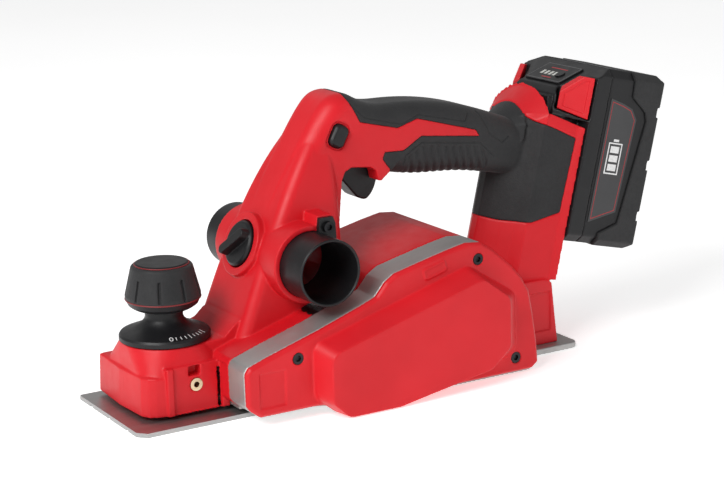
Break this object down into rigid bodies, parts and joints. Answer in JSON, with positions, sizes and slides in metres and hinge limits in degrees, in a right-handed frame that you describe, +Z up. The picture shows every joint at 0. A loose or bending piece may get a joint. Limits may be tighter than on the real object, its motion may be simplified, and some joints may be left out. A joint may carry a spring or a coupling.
{
  "type": "electric hand planer",
  "caption": "Battery hand planer with a belt-driven cutter drum, front depth knob, closed rear handle, side dust ports and a slide-on battery.",
  "frame": {"origin": "on the plane of the rear sole, midway along the whole sole and midway across its width", "axes": "+X towards the battery at the rear, -Y towards the belt cover, +Z up from the sole"},
  "size_m": [0.3565, 0.1273, 0.1668],
  "materials": {
    "red_plastic": "fine moulded satin texture",
    "black_rubber": "matt soft overmould",
    "black_plastic": "fine spark-eroded texture",
    "cast_aluminium": "fine blasted casting, machined sole",
    "drum_aluminium": "turned",
    "carbide_steel": "ground",
    "dark_steel": "blackened",
    "bright_steel": "ground",
    "magnet": "sintered",
    "laminated_steel": "stacked sheets",
    "copper": "turned copper",
    "brass": "turned",
    "carbon": "pressed graphite",
    "belt_rubber": "ribbed belt",
    "board": "lacquered circuit board",
    "cell_wrap": "shrink wrap",
    "label": "plain printed panel with a thin border",
    "light": "translucent light pipe"
  },
  "bodies": {
    "tool_body": {"left_housing": "red_plastic", "right_housing": "red_plastic", "belt_cover": "red_plastic", "left_grip_overmould": "black_rubber", "right_grip_overmould": "black_rubber", "dust_port_left": "black_plastic", "dust_port_right": "black_plastic", "drum_end_cover": "black_plastic", "terminal_block": "black_plastic", "trigger_switch": "black_plastic", "base_frame": "cast_aluminium", "cover_screws": "dark_steel", "housing_screws": "dark_steel", "plate_screws": "dark_steel", "port_screws": "dark_steel", "drum_bearings": "bright_steel", "motor_bearings": "bright_steel", "trigger_pin": "bright_steel", "parking_foot_pin": "bright_steel", "detent_ball": "bright_steel", "detent_spring": "bright_steel", "trigger_spring": "bright_steel", "motor_can": "bright_steel", "motor_magnets": "magnet", "terminal_blades": "copper", "guide_insert": "brass", "brush_holders": "brass", "carbon_brushes": "carbon", "drive_belt": "belt_rubber", "control_board": "board"},
    "front_shoe_unit": {"front_shoe": "cast_aluminium", "shoe_guide_pins": "bright_steel"},
    "depth_knob": {"depth_dial": "black_plastic", "depth_knob_grip": "black_rubber", "depth_knob_cap": "black_plastic", "depth_screw": "bright_steel"},
    "drum": {"cutter_drum": "drum_aluminium", "planer_blades": "carbide_steel", "blade_clamps": "drum_aluminium", "clamp_screws": "dark_steel", "drum_pulley": "drum_aluminium"},
    "rotor": {"armature": "laminated_steel", "commutator": "copper", "cooling_fan": "black_plastic", "motor_pulley": "drum_aluminium"},
    "chip_selector": {"selector_knob": "black_plastic", "chip_deflector": "black_plastic"},
    "trigger_lever": {"trigger": "black_plastic"},
    "lock_off": {"lock_off_button": "black_plastic"},
    "foot": {"parking_foot": "black_plastic"},
    "battery": {"battery_front_shell": "black_plastic", "battery_back_shell": "black_plastic", "battery_bumper": "black_rubber", "battery_cells": "cell_wrap", "battery_labels": "label", "gauge_plate": "black_plastic", "gauge_lights": "light"},
    "latch_left": {"battery_latch_left": "red_plastic"},
    "latch_right": {"battery_latch_right": "red_plastic"},
    "gauge_press": {"gauge_button": "black_plastic"}
  },
  "joints": [
    {"name": "depth_turn", "type": "hinge", "parent": "tool_body", "child": "depth_knob", "pos_m": [-0.109, 0, 0.05], "axis": [0, 0, 1], "range_deg": [0, 360]},
    {"name": "shoe_lift", "type": "slide", "parent": "tool_body", "child": "front_shoe_unit", "axis": [0, 0, 1], "range_m": [0, 0.002]},
    {"name": "drum_spin", "type": "hinge", "parent": "tool_body", "child": "drum", "pos_m": [-0.024, 0, 0.024], "axis": [0, 1, 0], "continuous": true},
    {"name": "rotor_spin", "type": "hinge", "parent": "tool_body", "child": "rotor", "pos_m": [0.044, 0, 0.042], "axis": [0, 1, 0], "continuous": true},
    {"name": "chip_select", "type": "hinge", "parent": "tool_body", "child": "chip_selector", "pos_m": [-0.06, 0, 0.0867], "axis": [-0.9272, 0, 0.3746], "range_deg": [0, 90]},
    {"name": "trigger_pull", "type": "hinge", "parent": "tool_body", "child": "trigger_lever", "pos_m": [0.0073, 0, 0.1285], "axis": [0, -1, 0], "range_deg": [0, 10], "stiffness_Nm_per_rad": 1, "deforming": ["trigger_spring"]},
    {"name": "lock_off_push", "type": "slide", "parent": "tool_body", "child": "lock_off", "axis": [0, 1, 0], "range_m": [-0.0035, 0.0035], "stiffness_N_per_m": 800},
    {"name": "foot_swing", "type": "hinge", "parent": "tool_body", "child": "foot", "pos_m": [0.139, 0.038, 0.0076], "axis": [0, -1, 0], "range_deg": [0, 35]},
    {"name": "battery_slide", "type": "slide", "parent": "tool_body", "child": "battery", "axis": [0.2317, 0, 0.9728], "range_m": [0, 0.09]},
    {"name": "latch_left_press", "type": "slide", "parent": "battery", "child": "latch_left", "axis": [0, 1, 0], "range_m": [0, 0.002], "stiffness_N_per_m": 1000},
    {"name": "latch_right_press", "type": "slide", "parent": "battery", "child": "latch_right", "axis": [0, -1, 0], "range_m": [0, 0.002], "stiffness_N_per_m": 1000},
    {"name": "gauge_press", "type": "slide", "parent": "battery", "child": "gauge_press", "axis": [0.329, 0, -0.9443], "range_m": [0, 0.0005], "stiffness_N_per_m": 800}
  ],
  "couplings": [
    {"joint": "depth_turn", "follows": "shoe_lift", "rad_per_m": 3141.6},
    {"joint": "rotor_spin", "follows": "drum_spin", "ratio": 1.3983}
  ]
}
